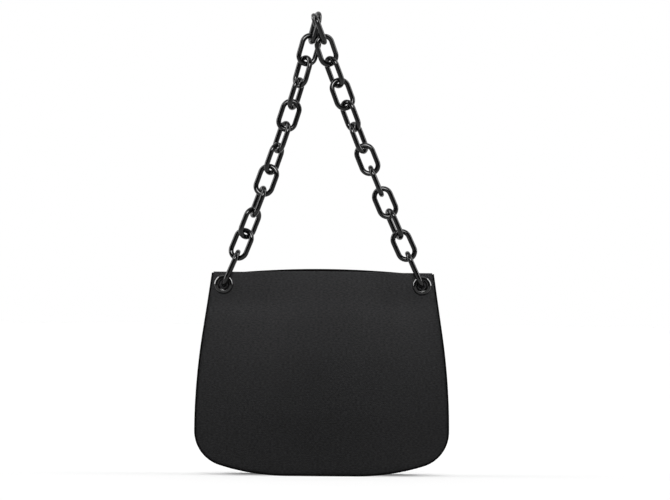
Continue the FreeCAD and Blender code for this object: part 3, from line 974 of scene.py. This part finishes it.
def linkPlaces(strand):
    # middle and turn of each link, by the same rule as the frame's links
    form = chainForm
    side, slack = strand["side"], strand["slack"]
    joint = Vector((side * bagForm["eyeletHalfSpan"], 0, bagForm["eyeletHeight"] - form["drop"]))
    for number, (rise, twist) in enumerate(zip(strandRises(), strand["twists"])):
        reach = linkReach(number, slack)
        size, half = (form["length"], form["width"]), reach / 2
        if number == 0:
            size, half = (form["endLength"], form["endWidth"]), (form["endLength"] - form["wire"]) / 2
        lean, tilt = math.degrees(math.acos(rise / reach)), 0
        if number >= form["count"] - len(strand["topTilts"]):
            lean += strand["topLeans"][number - form["count"]]
            tilt = strand["topTilts"][number - form["count"]]
        turn = turnAbout("Y", -side * lean) @ turnAbout("X", tilt)
        climb = turn @ Vector((0, 0, 1))
        yield number + 1, size, joint + climb * half, turn @ turnAbout("Z", twist) @ turnAbout("X", 90)
        joint = joint + climb * reach


ovalTree = linkTree()
for end in ("left", "right"):
    for number, size, middle, turn in linkPlaces(chainForm[end]):
        mesh = grow(ovalTree, bpy.data.meshes.new("start"), {
            "Link Length": size[0] * mm, "Link Width": size[1] * mm, "Wire Diameter": chainForm["wire"] * mm,
            "Finish": finishes["chain"]})
        mesh.transform(Matrix.Translation(middle * mm) @ turn.to_4x4())
        node = f"{end}_link_{number:02d}"
        place(f"{end}Link{number:02d}", mesh, "chain", [node], node)
print("chain hung:", 2 * chainForm["count"], "links")


# Studio: pale floor, light from the world and one soft lamp, and the camera at the photograph's angle

floorForm = {
    "half": 9.0, "pale": 0.6, "dark": 0.2, "light": 1.48, "white": 1.01, "near": (-0.22, -0.06),
    "shadowFront": (-0.035, 0.01), "shadowSide": (0.08, 0.15), "poolFront": (-1.0, -0.45),
    "poolSide": (3.0, 8.0), "poolSpread": 0.11, "frontGlow": 0.35,
}
worldForm = {
    "front": 0.06, "back": 1.0, "backStart": (0.1, 0.6), "zenith": 0.9, "boxes": 9.5, "boxSide": (0.5, 0.65),
    "boxFront": (0.12, 0.27), "boxBack": (0.08, 0.28), "boxFoot": (-0.02, 0.06), "boxTop": (0.72, 0.9),
}
topLampForm = {"at": (0.0, -0.6, 0.62), "aim": (0.0, 0.0, 0.36), "size": (0.9, 0.3), "spread": 40.0,
               "watts": 1.3}
cameraForm = {"height": 0.23615, "side": 0.0125, "distance": 4.5, "viewWidth": 0.7035, "roll": -0.45,
              "sensor": 36.0}


def floorFinish():
    # for the camera and mirror rays, pale paint under the object keeps its shadow, and a glow makes up the
    # rest to white, or to a pale grey in front; other rays meet paint that is dark in front of the object
    # and pale from there back
    form = floorForm
    finish = bpy.data.materials.new("paleFloor")
    finish.use_nodes = True
    tree = finish.node_tree
    tree.nodes.clear()
    x, y, _ = splitPlace(tree, addNode(tree, "ShaderNodeTexCoord").outputs["Object"])
    away = mathNode(tree, "ABSOLUTE", x)
    aside = mathNode(tree, "SUBTRACT", away, mathNode(tree, "MULTIPLY", y, form["poolSpread"]))
    pool = mathNode(tree, "MULTIPLY", ramp(tree, y, *form["poolFront"], form["frontGlow"], 1.0),
                    ramp(tree, aside, *form["poolSide"], 1.0, 0.0))
    rays = addNode(tree, "ShaderNodeLightPath").outputs
    seen = mathNode(tree, "MAXIMUM", rays["Is Camera Ray"],
                    mathNode(tree, "MAXIMUM", rays["Is Glossy Ray"], rays["Is Transmission Ray"]))
    near = mathNode(tree, "MULTIPLY", pool, ramp(tree, y, *form["near"], 0.0, 1.0))
    under = mathNode(tree, "MULTIPLY", ramp(tree, y, *form["shadowFront"], 0.0, 1.0),
                     ramp(tree, away, *form["shadowSide"], 1.0, 0.0))
    share = spread(tree, mathNode(tree, "SUBTRACT", under, near), seen, near)
    paint = spread(tree, share, form["pale"] - form["dark"], form["dark"])
    matt = addNode(tree, "ShaderNodeBsdfDiffuse")
    tree.links.new(paint, matt.inputs["Color"])
    rest = mathNode(tree, "SUBTRACT", form["white"], mathNode(tree, "MULTIPLY", paint, form["light"]))
    strength = mathNode(tree, "MULTIPLY", mathNode(tree, "MULTIPLY", seen, pool), rest)
    glow = addNode(tree, "ShaderNodeEmission")
    tree.links.new(strength, glow.inputs["Strength"])
    both = addNode(tree, "ShaderNodeAddShader")
    for socket, shader in zip(both.inputs, (matt, glow)):
        tree.links.new(shader.outputs[0], socket)
    tree.links.new(both.outputs[0], addNode(tree, "ShaderNodeOutputMaterial").inputs["Surface"])
    return finish


def layFloor():
    half = floorForm["half"]
    mesh = bpy.data.meshes.new("floor")
    corners = [(-half, -half, 0), (half, -half, 0), (half, half, 0), (-half, half, 0)]
    mesh.from_pydata(corners, [], [(0, 1, 2, 3)])
    card = addObject("floor", mesh)
    mesh.materials.append(floorFinish())


def lightWorld():
    # dim on the camera's side, white behind, pale above, and a raised softbox on each side
    form = worldForm
    world = bpy.data.worlds.new("studio")
    scene.world = world
    world.use_nodes = True
    sky = world.node_tree
    x, y, z = splitPlace(sky, addNode(sky, "ShaderNodeTexCoord").outputs["Generated"])
    room = ramp(sky, y, *form["backStart"], form["front"], form["back"])
    overhead = ramp(sky, z, *form["boxTop"], 0.0, form["zenith"])
    boxes = ramp(sky, mathNode(sky, "ABSOLUTE", x), *form["boxSide"], 0.0, form["boxes"])
    forward = mathNode(sky, "MULTIPLY", y, -1.0)
    for value, edge, start, end in ((z, "boxFoot", 0.0, 1.0), (z, "boxTop", 1.0, 0.0),
                                    (forward, "boxFront", 1.0, 0.0), (y, "boxBack", 1.0, 0.0)):
        boxes = mathNode(sky, "MULTIPLY", boxes, ramp(sky, value, *form[edge], start, end))
    level = mathNode(sky, "ADD", mathNode(sky, "ADD", room, overhead), boxes)
    background = sky.nodes["Background"]
    sky.links.new(level, background.inputs["Strength"])
    setInputs(background, {"Color": (1, 1, 1, 1)})


def hangLamp():
    form = topLampForm
    lamp = bpy.data.lights.new("topLamp", "AREA")
    lamp.shape, lamp.size, lamp.size_y = "RECTANGLE", *form["size"]
    lamp.energy, lamp.spread = form["watts"], math.radians(form["spread"])
    hung = addObject("topLamp", lamp)
    hung.location = form["at"]
    hung.rotation_euler = (Vector(form["aim"]) - hung.location).to_track_quat("-Z", "Y").to_euler()
    hung.visible_camera = False


def setCamera():
    form = cameraForm
    lens = bpy.data.cameras.new("camera")
    lens.sensor_width = form["sensor"]
    lens.lens = form["sensor"] * form["distance"] / form["viewWidth"]
    camera = addObject("camera", lens)
    camera.location = (form["side"], -form["distance"], form["height"])
    camera.rotation_euler = (math.pi / 2, math.radians(form["roll"]), 0)
    scene.camera = camera


layFloor()
lightWorld()
hangLamp()
setCamera()
print("studio ready")
